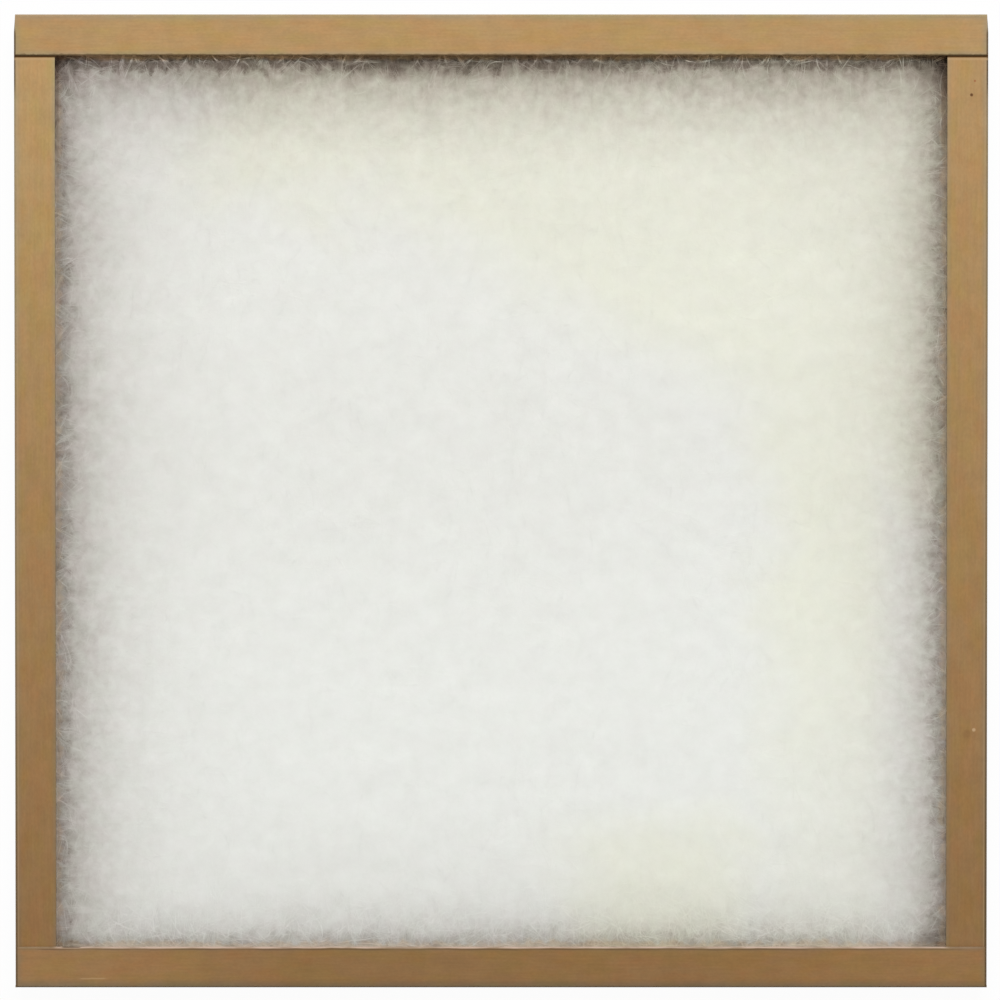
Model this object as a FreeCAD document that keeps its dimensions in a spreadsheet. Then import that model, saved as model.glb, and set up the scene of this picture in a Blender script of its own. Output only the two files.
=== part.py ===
import FreeCAD, Part
import math
import os
import Sketcher
from types import SimpleNamespace

# A flat disposable air filter for a furnace: a pad of spun glass held by its edges in four folded
# chipboard channels. The top and bottom channels are as deep as the filter. Their lips lap over the
# ends of the side channels, front and back, and are glued there. A light open net is bonded to the
# side where the air leaves, and rests on the back lips.
# X runs to the right across the face, Y up the face, and Z out of the face that the air enters.
# The origin lies under the middle of the filter, in the plane of the back lips.

# Driving dimensions in millimetres: name, value, what it is.
SIZES = (
    ("face_width", 495.3, "outside width, from side rail to side rail"),
    ("face_height", 495.3, "outside height, from bottom rail to top rail"),
    ("frame_depth", 22.2, "back lip to front lip of the top and bottom rails"),
    ("board", 0.7, "thickness of the chipboard"),
    ("fold_inside", 0.4, "inside radius of each fold"),
    ("lip", 20.8, "outside of a rail to the free edge of its lips"),
    ("glue_line", 0.05, "gap between two layers that are glued"),
    ("corner_run", 9.2, "length of each top corner that is drawn in"),
    ("side_lean", 0.6, "how far a side rail leans in at its top end, under the lips"),
    ("top_inset", 0.6, "outside of a side rail to the end of the top rail"),
    ("top_relief", 0.15, "how much shorter the top rail is at its web than at its lips"),
    ("web_gap", 0.3, "gap between the pad's edge and the web of a rail"),
    ("rim_thick", 9.0, "thickness of the pad at its edge, inside the rails"),
    ("crown_below", 0.3, "how far the pad's full loft stays behind the front lips"),
    ("crown_reach", 32.0, "free edge of the lips to where the pad has its full loft"),
    ("pad_corner", 14.0, "radius of the pad's corners, seen from the front"),
    ("net_inset", 5.0, "edge of the pad to the edge of the net"),
    ("net_thick", 0.5, "thickness of the net"),
    ("strand", 1.6, "width of one strand of the net"),
    ("net_cells", 10, "openings of the net along each side"),
)
OVERCUT = 5.0  # how far a cutting outline runs past the solid that it cuts
LEAST_CUT = 1e-3  # mm3 that a cut takes off at least
Y = (0, 1, 0)
Z = (0, 0, 1)

doc = FreeCAD.newDocument("FurnaceFilter")


class Size:
    """A value together with the spreadsheet formula that gives it."""

    def __init__(self, value, formula):
        self.value = value
        self.formula = formula

    def __neg__(self):
        return Size(-self.value, f"-({self.formula})")

    def __add__(self, other):
        return Size(self.value + value_of(other), f"({self.formula} + {formula_of(other)})")

    def __sub__(self, other):
        return Size(self.value - value_of(other), f"({self.formula} - {formula_of(other)})")

    def __mul__(self, other):
        return Size(self.value * value_of(other), f"({self.formula} * {formula_of(other)})")

    def __truediv__(self, other):
        return Size(self.value / value_of(other), f"({self.formula} / {formula_of(other)})")


def value_of(size):
    return size.value if isinstance(size, Size) else size


def formula_of(size):
    return size.formula if isinstance(size, Size) else str(size)


def make_sheet():
    """The spreadsheet of driving dimensions, and each of them as a Size."""
    sheet = doc.addObject("Spreadsheet::Sheet", "sizes")
    for row, (alias, value, note) in enumerate(SIZES, start=1):
        sheet.set(f"A{row}", alias)
        sheet.set(f"B{row}", str(value))
        sheet.set(f"C{row}", note)
        sheet.setAlias(f"B{row}", alias)
    doc.recompute()
    return SimpleNamespace(**{alias: Size(sheet.get(alias), f"sizes.{alias}") for alias, _, _ in SIZES})


def bind(item, path, size):
    """Ties a property of an object to the spreadsheet."""
    item.setExpression(path, formula_of(size))


def new_body(label):
    """An empty body. Its label names its file."""
    body = doc.addObject("PartDesign::Body", label)
    body.Label = label
    return body


def datum(body, role):
    """One of the body's own origin planes or axes."""
    return next(item for item in body.Origin.OriginFeatures if item.Role == role)


def new_sketch(body, name, plane, along=0, shift=0):
    """A sketch on an origin plane, moved along the plane's normal and along its own first axis."""
    sketch = body.newObject("Sketcher::SketchObject", name)
    sketch.AttachmentSupport = [(datum(body, plane), "")]
    sketch.MapMode = "FlatFace"
    bind(sketch, "AttachmentOffset.Base.z", along)
    bind(sketch, "AttachmentOffset.Base.x", shift)
    return sketch


def arc_between(start, end, radius):
    """The short arc from start to end. It turns anticlockwise if radius is positive."""
    chord = end - start
    middle = (start + end) * 0.5
    rise = math.sqrt(radius * radius - chord.Length * chord.Length / 4)
    left = FreeCAD.Vector(-chord.y, chord.x, 0).normalize()
    centre = middle + left * math.copysign(rise, radius)
    first, last = (start, end) if radius > 0 else (end, start)
    angles = [math.atan2(point.y - centre.y, point.x - centre.x) for point in (first, last)]
    if angles[1] < angles[0]:
        angles[1] += 2 * math.pi
    return Part.ArcOfCircle(Part.Circle(centre, FreeCAD.Vector(0, 0, 1), abs(radius)), *angles)


def draw_outline(sketch, corners):
    """Draws a closed outline and ties every corner of it to the spreadsheet.

    A corner is (x, y), or (x, y, radius) where the edge that leaves it is an arc.
    """
    points = [FreeCAD.Vector(value_of(corner[0]), value_of(corner[1]), 0) for corner in corners]
    starts = []
    for index, corner in enumerate(corners):
        start = points[index]
        end = points[(index + 1) % len(points)]
        radius = value_of(corner[2]) if len(corner) == 3 else 0
        edge = arc_between(start, end, radius) if radius else Part.LineSegment(start, end)
        number = sketch.addGeometry(edge, False)
        starts.append((number, 2, 1) if radius < 0 else (number, 1, 2))
        if radius:
            size = corner[2] if radius > 0 else -corner[2]
            add_dimension(sketch, "Radius", (number,), size)
    for index, (number, first, last) in enumerate(starts):
        after, its_first, _ = starts[(index + 1) % len(starts)]
        sketch.addConstraint(Sketcher.Constraint("Coincident", number, last, after, its_first))
        add_dimension(sketch, "DistanceX", (-1, 1, number, first), corners[index][0])
        add_dimension(sketch, "DistanceY", (-1, 1, number, first), corners[index][1])


def add_dimension(sketch, kind, where, size):
    """One dimension of a sketch, bound to its formula. A zero distance keeps the point on the axis."""
    if isinstance(size, Size):
        number = sketch.addConstraint(Sketcher.Constraint(kind, *where, size.value))
        bind(sketch, f"Constraints[{number}]", size)
        return
    axis = -2 if kind == "DistanceX" else -1
    sketch.addConstraint(Sketcher.Constraint("PointOnObject", where[2], where[3], axis))


def cut(body, name, sketch, before):
    """Cuts an outline right through the body, both ways, and makes sure that it took something off."""
    pocket = body.newObject("PartDesign::Pocket", name)
    pocket.Profile = sketch
    pocket.Type = "ThroughAll"
    pocket.SideType = "Symmetric"
    doc.recompute()
    if pocket.Shape.Volume > before.Shape.Volume - LEAST_CUT:
        raise RuntimeError(f"{name} cuts nothing")
    return pocket


def mirror(body, name, feature, plane):
    """The same feature on the other side of an origin plane."""
    mirrored = body.newObject("PartDesign::Mirrored", name)
    mirrored.Originals = [feature]
    mirrored.MirrorPlane = (datum(body, plane), [""])
    body.Tip = mirrored
    doc.recompute()
    return mirrored


size = make_sheet()
half_width = size.face_width / 2
half_height = size.face_height / 2
fold_outside = size.fold_inside + size.board

# The side rails stand between the lips of the top and bottom rails.
side_base = size.board + size.glue_line
side_depth = size.frame_depth - side_base * 2
side_half = half_height - fold_outside
side_straight = half_height - size.corner_run

# The net lies on the back lips and the pad lies on the net.
net_base = side_base + size.board + size.glue_line
pad_base = net_base + size.net_thick + size.glue_line
pad_half_width = half_width - size.board - size.web_gap
pad_half_height = half_height - size.board - size.web_gap


def channel_section(sketch, depth):
    """A folded channel, cut across: a web on the second axis and two lips that reach to the left."""
    tip = -size.lip
    draw_outline(
        sketch,
        (
            (tip, 0),
            (-fold_outside, 0, fold_outside),
            (0, fold_outside),
            (0, depth - fold_outside, fold_outside),
            (-fold_outside, depth),
            (tip, depth),
            (tip, depth - size.board),
            (-fold_outside, depth - size.board, -size.fold_inside),
            (-size.board, depth - fold_outside),
            (-size.board, fold_outside, -size.fold_inside),
            (-fold_outside, size.board),
            (tip, size.board),
        ),
    )


def place(body, rotation, across, up, base):
    """Turns a body and moves it to its place in the frame."""
    body.Placement = FreeCAD.Placement(FreeCAD.Vector(), rotation)
    bind(body, "Placement.Base.x", across)
    bind(body, "Placement.Base.y", up)
    bind(body, "Placement.Base.z", base)


def about(axis, degrees):
    return FreeCAD.Rotation(FreeCAD.Vector(*axis), degrees)


def straight_channel(body, length, depth):
    """A channel of one section, centred on the body's origin and running along its first axis."""
    section = new_sketch(body, body.Label + "_section", "YZ_Plane")
    channel_section(section, depth)
    channel = body.newObject("PartDesign::Pad", body.Label + "_channel")
    channel.Profile = section
    channel.SideType = "Symmetric"
    bind(channel, "Length", length)
    doc.recompute()
    return channel


def top_rail():
    """The top rail: its lips run almost the full width, and its ends narrow towards the web."""
    body = new_body("top_rail")
    end = half_width - size.top_inset
    channel = straight_channel(body, end * 2, size.frame_depth)
    relief = new_sketch(body, "top_relief_outline", "XY_Plane")
    draw_outline(relief, ((end, -size.corner_run), (end, 0), (end - size.top_relief, 0)))
    relieved = cut(body, "top_relieved_end", relief, channel)
    mirror(body, "top_other_end", relieved, "YZ_Plane")
    place(body, about(Z, 0), 0, half_height, 0)
    return body


def bottom_rail():
    """The bottom rail: a plain channel between the webs of the side rails."""
    body = new_body("bottom_rail")
    straight_channel(body, (half_width - size.board - size.glue_line) * 2, size.frame_depth)
    place(body, about(Z, 180), 0, -half_height, 0)
    return body


def side_rail(label, rotation, across, base):
    """A side rail: a channel that leans in at its top end, and whose web reaches the bottom edge."""
    body = new_body(label)
    lean = size.side_lean * (size.corner_run - fold_outside) / size.corner_run
    sections = []
    for number, (along, shift) in enumerate(((-side_half, 0), (side_straight, 0), (side_half, -lean))):
        section = new_sketch(body, f"{label}_section_{number}", "YZ_Plane", along, shift)
        channel_section(section, side_depth)
        sections.append(section)
    doc.recompute()
    channel = body.newObject("PartDesign::AdditiveLoft", label + "_channel")
    channel.Profile = sections[0]
    channel.Sections = sections[1:]
    channel.Ruled = True
    web_end = new_sketch(body, label + "_web_end", "YZ_Plane", -side_half)
    draw_outline(
        web_end,
        ((-size.board, 0), (0, 0), (0, side_depth), (-size.board, side_depth)),
    )
    tongue = body.newObject("PartDesign::Pad", label + "_tongue")
    tongue.Profile = web_end
    tongue.Reversed = True
    bind(tongue, "Length", fold_outside)
    place(body, rotation, across, 0, base)
    return body


def crown_cut(body, name, plane, half, before):
    """Slopes the front of the pad down to its thin rim, at both ends of one axis."""
    rim_top = pad_base + size.rim_thick
    crown_top = size.frame_depth - size.crown_below
    run = size.lip - size.board - size.web_gap + size.crown_reach
    rise = crown_top - rim_top
    bend = (run * run + rise * rise) / (rise * 2)
    sketch = new_sketch(body, name + "_outline", plane)
    draw_outline(
        sketch,
        (
            (half - run, crown_top, -bend),
            (half, rim_top),
            (half + OVERCUT, rim_top),
            (half + OVERCUT, crown_top + OVERCUT),
            (half - run, crown_top + OVERCUT),
        ),
    )
    slope = cut(body, name, sketch, before)
    return mirror(body, name + "_opposite", slope, "YZ_Plane" if plane == "XZ_Plane" else "XZ_Plane")


def media_pad():
    """The spun-glass pad: flat at the back, full in front, thin where the rails hold it."""
    body = new_body("media_pad")
    plan = new_sketch(body, "pad_plan", "XY_Plane", pad_base)
    round_x = pad_half_width - size.pad_corner
    round_y = pad_half_height - size.pad_corner
    draw_outline(
        plan,
        (
            (pad_half_width, -round_y),
            (pad_half_width, round_y, size.pad_corner),
            (round_x, pad_half_height),
            (-round_x, pad_half_height, size.pad_corner),
            (-pad_half_width, round_y),
            (-pad_half_width, -round_y, size.pad_corner),
            (-round_x, -pad_half_height),
            (round_x, -pad_half_height, size.pad_corner),
        ),
    )
    slab = body.newObject("PartDesign::Pad", "pad_slab")
    slab.Profile = plan
    bind(slab, "Length", size.frame_depth - size.crown_below - pad_base)
    doc.recompute()
    sides = crown_cut(body, "pad_sides", "XZ_Plane", pad_half_width, slab)
    crown_cut(body, "pad_ends", "YZ_Plane", pad_half_height, sides)
    return body


def backing_net():
    """The open net on the pad's back: a thin sheet with one opening repeated along both axes."""
    body = new_body("backing_net")
    net_half_width = pad_half_width - size.net_inset
    net_half_height = pad_half_height - size.net_inset
    pitch_across = (net_half_width * 2 - size.strand) / size.net_cells
    pitch_up = (net_half_height * 2 - size.strand) / size.net_cells
    outline = new_sketch(body, "net_outline", "XY_Plane", net_base)
    draw_outline(
        outline,
        (
            (-net_half_width, -net_half_height),
            (net_half_width, -net_half_height),
            (net_half_width, net_half_height),
            (-net_half_width, net_half_height),
        ),
    )
    sheet = body.newObject("PartDesign::Pad", "net_sheet")
    sheet.Profile = outline
    bind(sheet, "Length", size.net_thick)
    doc.recompute()
    left = size.strand - net_half_width
    low = size.strand - net_half_height
    right = left + pitch_across - size.strand
    high = low + pitch_up - size.strand
    opening = new_sketch(body, "net_opening_outline", "XY_Plane", net_base)
    draw_outline(opening, ((left, low), (right, low), (right, high), (left, high)))
    first = cut(body, "net_opening", opening, sheet)
    grid = body.newObject("PartDesign::MultiTransform", "net_grid")
    grid.Originals = [first]
    rows = []
    for name, axis, pitch in (("net_across", "X_Axis", pitch_across), ("net_up", "Y_Axis", pitch_up)):
        row = body.newObject("PartDesign::LinearPattern", name)
        row.Direction = (datum(body, axis), [""])
        row.Mode = "Spacing"
        bind(row, "Offset", pitch)
        bind(row, "Occurrences", size.net_cells)
        rows.append(row)
    grid.Transformations = rows
    body.Tip = grid
    return body


# The right rail is the left one turned over, front to back.
upright = about(Z, 90)
parts = (
    top_rail(),
    bottom_rail(),
    side_rail("left_rail", upright, -half_width, side_base),
    side_rail("right_rail", about(Y, 180).multiply(upright), half_width, side_base + side_depth),
    media_pad(),
    backing_net(),
)
doc.recompute()

for item in doc.Objects:
    if "Invalid" in item.State or "Error" in item.State:
        raise RuntimeError(f"{item.Label} did not build: {item.State}")
for body in parts:
    shape = body.Shape
    if shape.isNull() or not shape.isValid() or len(shape.Solids) != 1:
        raise RuntimeError(f"{body.Label} is not one valid solid")

os.makedirs("parts", exist_ok=True)
for body in parts:
    body.Shape.exportStep(os.path.join("parts", body.Label + ".step"))
    box = body.Shape.BoundBox
    print(
        f"{body.Label}: {body.Shape.Volume / 1000:.2f} cm3, "
        f"x {box.XMin:.2f} to {box.XMax:.2f}, y {box.YMin:.2f} to {box.YMax:.2f}, "
        f"z {box.ZMin:.2f} to {box.ZMax:.2f}"
    )
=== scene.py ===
import math
from collections import namedtuple

import bpy
import numpy as np
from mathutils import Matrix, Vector


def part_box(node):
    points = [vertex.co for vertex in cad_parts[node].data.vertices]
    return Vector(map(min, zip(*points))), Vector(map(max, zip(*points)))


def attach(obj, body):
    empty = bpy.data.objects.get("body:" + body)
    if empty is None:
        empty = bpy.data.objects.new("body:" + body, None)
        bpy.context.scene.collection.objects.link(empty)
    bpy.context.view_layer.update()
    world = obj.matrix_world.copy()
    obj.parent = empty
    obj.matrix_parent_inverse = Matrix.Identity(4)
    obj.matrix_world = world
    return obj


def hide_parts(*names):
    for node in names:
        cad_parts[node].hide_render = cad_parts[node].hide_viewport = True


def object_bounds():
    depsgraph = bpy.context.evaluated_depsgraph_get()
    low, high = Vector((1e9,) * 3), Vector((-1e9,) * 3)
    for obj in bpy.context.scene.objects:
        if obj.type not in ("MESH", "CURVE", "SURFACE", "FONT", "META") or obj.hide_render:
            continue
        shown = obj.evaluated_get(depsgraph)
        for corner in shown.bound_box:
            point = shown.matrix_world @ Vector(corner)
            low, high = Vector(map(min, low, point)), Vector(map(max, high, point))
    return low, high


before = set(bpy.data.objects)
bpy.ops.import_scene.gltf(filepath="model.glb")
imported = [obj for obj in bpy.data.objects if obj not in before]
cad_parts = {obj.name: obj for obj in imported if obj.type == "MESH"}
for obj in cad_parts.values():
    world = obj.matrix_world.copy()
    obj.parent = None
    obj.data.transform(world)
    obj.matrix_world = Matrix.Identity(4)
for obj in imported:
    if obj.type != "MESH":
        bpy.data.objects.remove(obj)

# The looks of a flat furnace filter that lies on its back: spun glass in a folded chipboard frame.
# Metres, X to the right across the face, Y up the face, Z out of it. The camera looks down on it.
MM = 0.001
CAD_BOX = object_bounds()
FILTER_LOW, FILTER_HIGH = CAD_BOX
FACE = FILTER_HIGH - FILTER_LOW

# Sizes that the rails and the pad share with the frame
BOARD_THICK = 0.7 * MM
PAD_LOW, PAD_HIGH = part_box("media_pad")
LIP_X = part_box("right_rail")[0].x  # free edge of the side lips, from the middle
LIP_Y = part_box("top_rail")[0].y  # free edge of the top and bottom lips, from the middle
LIP_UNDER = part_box("right_rail")[1].z - BOARD_THICK  # underside of the lower front lips
CROWN_REACH = 32 * MM  # lip's free edge to where the pad has its full loft
RIM_THICK = 9 * MM  # pad's thickness at its edge
PAD_CORNER = 14 * MM


def tone(red, green, blue):
    """A colour as it looks on screen, 0 to 255, turned into the linear values that shaders take."""
    shares = (value / 255 for value in (red, green, blue))
    linear = [share / 12.92 if share <= 0.04045 else ((share + 0.055) / 1.055) ** 2.4 for share in shares]
    return (*linear, 1.0)


class Paint:
    """One node material, with a short call for each kind of node that it uses."""

    def __init__(self, name):
        self.material = bpy.data.materials.new(name)
        self.material.use_nodes = True
        self.tree = self.material.node_tree
        self.tree.nodes.clear()
        self.place = self.node("TexCoord", {}).outputs["Object"]
        split = self.node("SeparateXYZ", {"Vector": self.place})
        self.x, self.y, self.z = split.outputs

    def node(self, kind, inputs, **settings):
        """A new node with these settings, and a value or a link for each of these inputs."""
        made = self.tree.nodes.new("ShaderNode" + kind)
        for name, value in settings.items():
            setattr(made, name, value)
        for name, value in inputs.items():
            self.feed(made.inputs[name], value)
        return made

    def feed(self, socket, value):
        """Links another node's output to the socket, or sets a plain value on it."""
        if isinstance(value, bpy.types.NodeSocket):
            self.tree.links.new(value, socket)
        else:
            socket.default_value = value

    def math(self, operation, *values):
        made = self.node("Math", dict(enumerate(values)), operation=operation)
        return made.outputs[0]

    def total(self, first, second):
        return self.math("ADD", first, second)

    def less(self, value, taken):
        return self.math("SUBTRACT", value, taken)

    def product(self, first, second):
        return self.math("MULTIPLY", first, second)

    def cube(self, value):
        return self.product(self.product(value, value), value)

    def larger(self, first, second):
        return self.math("MAXIMUM", first, second)

    def size_of(self, value):
        """The value without its sign."""
        return self.math("ABSOLUTE", value)

    def ramp(self, value, start, end, low=0.0, high=1.0, shape="LINEAR"):
        """Runs from low at start and before it to high at end and past it."""
        inputs = {"Value": value, "From Min": start, "From Max": end, "To Min": low, "To Max": high}
        return self.node("MapRange", inputs, interpolation_type=shape).outputs[0]

    def fade(self, value, start, end, low=0.0, high=1.0):
        """A ramp with soft ends."""
        return self.ramp(value, start, end, low, high, "SMOOTHSTEP")

    def band(self, value, start, end, feather):
        """One between start and end, and nothing outside them."""
        rise = self.fade(value, start - feather, start + feather)
        fall = self.fade(value, end + feather, end - feather)
        return self.product(rise, fall)

    def spot(self, x, y, radius):
        """One at a place on the face, and nothing past the radius round it."""
        flat = self.node("CombineXYZ", {"X": self.x, "Y": self.y})
        away = self.node("VectorMath", {0: flat.outputs[0], 1: (x, y, 0.0)}, operation="DISTANCE")
        return self.fade(away.outputs["Value"], radius, radius * 0.4)

    def noise(self, stretch, detail=2.0, roughness=0.5, seed=0.0):
        """Smooth random values about 0.5. Stretch is the number of features in a metre along X, Y and Z."""
        shift = (seed, seed, seed)
        spread = self.node("VectorMath", {0: self.place, 1: stretch, 2: shift}, operation="MULTIPLY_ADD")
        inputs = {"Vector": spread.outputs[0], "Scale": 1.0, "Detail": detail, "Roughness": roughness}
        return self.node("TexNoise", inputs).outputs["Fac"]

    def stray(self, reach, stretch, detail, seed):
        """Noise about zero, nearly all of it within a quarter of the reach on either side."""
        about = self.less(self.noise(stretch, detail, 0.6, seed), 0.5)
        return self.product(about, reach)

    def mix(self, share, first, second, blend="MIX"):
        """The first colour, with a share of the second laid over it."""
        made = self.node("Mix", {}, data_type="RGBA", blend_type=blend)
        for number, value in ((0, share), (6, first), (7, second)):
            self.feed(made.inputs[number], value)
        return made.outputs[2]

    def times(self, colour, factor):
        """The colour made lighter or darker by a factor that may pass 1."""
        scaled = self.node("VectorMath", {0: colour, "Scale": factor}, operation="SCALE")
        return scaled.outputs["Vector"]

    def bump(self, height, strength, distance):
        """A normal that leans with the height."""
        inputs = {"Height": height, "Strength": strength, "Distance": distance}
        return self.node("Bump", inputs).outputs[0]

    def finish(self, **inputs):
        """Ends in one Principled shader with these sockets."""
        sockets = {name.replace("_", " "): value for name, value in inputs.items()}
        shader = self.node("BsdfPrincipled", sockets)
        output = self.node("OutputMaterial", {"Surface": shader.outputs[0]})
        output.is_active_output = True
        return self.material


# Chipboard

# Painted shading: the board runs from lighter at the top rail to darker at the bottom one, as light from
# above the top rail would make it
BOARD_TOP_PAINTED_LIT = tone(174, 141, 96)  # at the top rail, where the photograph is lighter
BOARD_FOOT_PAINTED_SHADE = tone(142, 108, 69)
FRAYED = tone(112, 86, 50)
# painted shade for the dark lines along shaded folds, rail ends and corners, and by the cut edge
PAINTED_SHADE_LINE = tone(84, 66, 42)
# painted shadow under the top lip's edge, on the side rails
SEAM_SHADE = tone(86, 56, 18)
# painted shade along the top lip's cut edge, over the pad
PAINTED_EDGE_SHADE = tone(96, 76, 47)
# pale paper of the scuff, and the painted highlights on the side rails
PALE_SCUFF_AND_HIGHLIGHT = tone(188, 155, 115)
# pale torn paper, partly a painted highlight where light catches the bottom lip's cut edge
TORN_PAPER_AND_HIGHLIGHT = tone(214, 188, 170)
# the dark line behind the bottom lip's torn edge
BEHIND_EDGE_DARK = tone(98, 72, 54)
# painted shade line along the bottom rail's fold
FOLD_PAINTED_SHADE_LINE = tone(96, 80, 60)

# Tints that multiply the board's colour; the last one is a painted shade along the bottom rail's fold
ORANGE = (1.04, 0.97, 0.93, 1.0)
OLIVE = (0.98, 1.018, 0.885, 1.0)
WORN = (0.84, 1.0, 1.33, 1.0)  # greyer paper along the fold and the cut edge
LIGHT_LEFT = (1.05, 1.09, 1.09, 1.0)
LIGHT_ENDS = (1.12, 1.1, 1.08, 1.0)
PALE_END = (1.05, 1.09, 1.15, 1.0)
# painted shade along the bottom rail's fold
FOLD_PAINTED_SHADE = (0.84, 0.87, 0.92, 1.0)

SOFT = 0.3 * MM  # feather of most marks
SHARP = 0.15 * MM  # feather of the finest ones
WANDER = 0.9 * MM  # how far the marks' lines stray across a rail
WORN_FOLD = 4.6 * MM  # width of the worn paper along the fold
WORN_EDGE = 3.4 * MM  # and along the cut edge
WORN_END = 5 * MM  # and at the ends of the top and bottom rails

# Depths under the front between which the marks of the front lip fade out down the rail's side
FRONT_MARKS_END = (1.6 * MM, 0.9 * MM)

# Grain: features in a metre along a rail and across it, detail and seed
WANDERING = (60, 60, 3, 7.0)
FRAY_GRAIN = (350, 60, 2, 8.0)
TORN_GRAIN = (70, 300, 3, 11.0)
BEHIND_EDGE_GRAIN = (45, 300, 3, 12.0)
COARSE_RELIEF = (90, 900, 3, 3.0)
FINE_RELIEF = (700, 1300, 3, 4.0)
RELIEF_DEPTH = 0.1 * MM

# Blotches: features in a metre along a rail and across it, seed, the noise where they start and where they
# are full, how strong they are then, and their tint
BLOTCHES = (
    (38, 95, 1.0, 0.42, 0.66, 1.0, ORANGE),
    (44, 110, 2.0, 0.42, 0.66, 1.0, OLIVE),
    (240, 420, 10.0, 0.5, 0.7, 0.5, ORANGE),
)
# Features in a metre along a rail and across it, seed, and how much lighter or darker they make the board
STREAKS = (45, 900, 3.0, 0.028)
SPECKLE = (550, 900, 4.0, 0.04)
CLOUDY = (120, 160, 5.0, 0.045)

# Marks on the side rails: places in from the outer fold, or up the face, with the feather last
FOLD_SHADE_PLACE = (0.8 * MM, 0.5 * MM)  # place of the painted shade line along the fold, at the foot and at the top
# painted highlight on the ridge beside the fold's shade line
FOLD_HIGHLIGHT = (1.4 * MM, 1.9 * MM, SOFT)
# painted shadow under the top lip's edge, and a painted highlight below it
TOP_LIP_SHADOW_BAND = (LIP_Y - 1.1 * MM, LIP_Y + 2 * MM, SOFT)
TOP_LIP_HIGHLIGHT_BAND = (LIP_Y - 2.4 * MM, LIP_Y - 1.3 * MM, 0.4 * MM)
CORNER_RISE = (204 * MM, 214 * MM)  # up the face, where the painted shade at the outer corner starts and is full
CORNER_WIDTH = (1 * MM, 0.7 * MM)  # in from the fold, where it ends and is still full

# Marks on the top rail
EDGE_SHADE_WANDER = (1.2 * MM, (420, 90, 90), 3, 9.0)
EDGE_SHADE_WIDTH = (0.85 * MM, 0.45 * MM)  # back from the cut edge, where the painted edge shade starts and is full
END_WIDTH = (1.3 * MM, 1 * MM)  # in from the ends, where their painted shade line starts and is full
END_RISE = (241 * MM, 237 * MM)  # down the face, where it starts and is full

# The specks on the right rail: X and Y on the face, radius, strength and colour
SPECKS = (
    (239.1 * MM, 206.8 * MM, 1.1 * MM, 0.9, tone(88, 52, 26)),
    (240.8 * MM, 213.9 * MM, 0.8 * MM, 0.7, tone(150, 84, 52)),
    (237.3 * MM, -118.3 * MM, 3.0 * MM, 0.35, tone(128, 92, 58)),
    (240.8 * MM, -116.2 * MM, 1.2 * MM, 0.8, tone(196, 166, 128)),
)


class Board(Paint):
    """Brown recycled board for one rail. Axis is the one that crosses the rail, and facing points out."""

    def __init__(self, node, axis, facing):
        super().__init__("chipboard_" + node)
        low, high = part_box(node)
        outer = (high if facing > 0 else low)[axis]
        self.axis = axis
        self.lip = abs(outer) - (LIP_X, LIP_Y)[axis]
        self.inward = self.product(self.less(outer, (self.x, self.y)[axis]), facing)
        wander = self.product(self.less(self.grain(*WANDERING), 0.5), WANDER)
        self.across = self.total(self.inward, wander)
        self.front = self.fade(self.z, *(high.z - depth for depth in FRONT_MARKS_END))
        # Painted shading: darker from the top rail down to the bottom one
        self.colour = self.mix(self.ramp(self.y, FILTER_LOW.y, FILTER_HIGH.y), BOARD_FOOT_PAINTED_SHADE, BOARD_TOP_PAINTED_LIT)
        self.mottle()
        self.wear()
        self.roughen()

    def grain(self, along, over, detail, seed):
        """Noise drawn out along the rail, from features in a metre along it and across it."""
        stretch = (over, along, over) if self.axis == 0 else (along, over, over)
        return self.noise(stretch, detail, seed=seed)

    def lay(self, share, colour, blend="MIX"):
        self.colour = self.mix(share, self.colour, colour, blend)

    def tint(self, share, colour):
        self.lay(share, colour, "MULTIPLY")

    def lay_in_front(self, share, colour):
        """Lays a colour on the front lip and its fold, and leaves the rail's side as it is."""
        self.lay(self.product(share, self.front), colour)

    def mottle(self):
        """Orange and olive blotches."""
        for along, over, seed, start, full, strength, colour in BLOTCHES:
            self.tint(self.fade(self.grain(along, over, 2, seed), start, full, 0.0, strength), colour)

    def wear(self):
        """Greyer paper near the rail's edges, and fraying along the cut one."""
        fold = self.fade(self.across, 0.0, WORN_FOLD, 1.0, 0.0)
        worn = self.larger(fold, self.fade(self.across, self.lip - WORN_EDGE, self.lip))
        if self.axis == 1:
            ends = self.fade(self.size_of(self.x), FILTER_HIGH.x - WORN_END, FILTER_HIGH.x)
            worn = self.larger(worn, ends)
        self.tint(worn, WORN)
        frayed = self.fade(self.grain(*FRAY_GRAIN), 0.5, 0.62, 0.0, 0.4)
        self.lay(self.product(frayed, self.fade(self.across, self.lip - MM, self.lip)), FRAYED)

    def uneven(self, along, over, seed, depth):
        """A factor about 1 that strays from it by the depth."""
        return self.fade(self.grain(along, over, 3, seed), 0.25, 0.75, 1 - depth, 1 + depth)

    def roughen(self):
        """Soft streaks along the rail, speckle and clouds."""
        self.streaks = self.uneven(*STREAKS)
        self.colour = self.times(self.colour, self.product(self.streaks, self.uneven(*SPECKLE)))
        self.colour = self.times(self.colour, self.uneven(*CLOUDY))

    def material_of(self):
        """The dark streaks are the rougher ones."""
        height = self.total(self.grain(*COARSE_RELIEF), self.grain(*FINE_RELIEF))
        depth = STREAKS[-1]
        return self.finish(
            Base_Color=self.colour,
            Roughness=self.fade(self.streaks, 1 - depth, 1 + depth, 0.86, 0.76),
            Specular_IOR_Level=0.25,
            Normal=self.bump(height, 0.3, RELIEF_DEPTH),
        )


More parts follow.
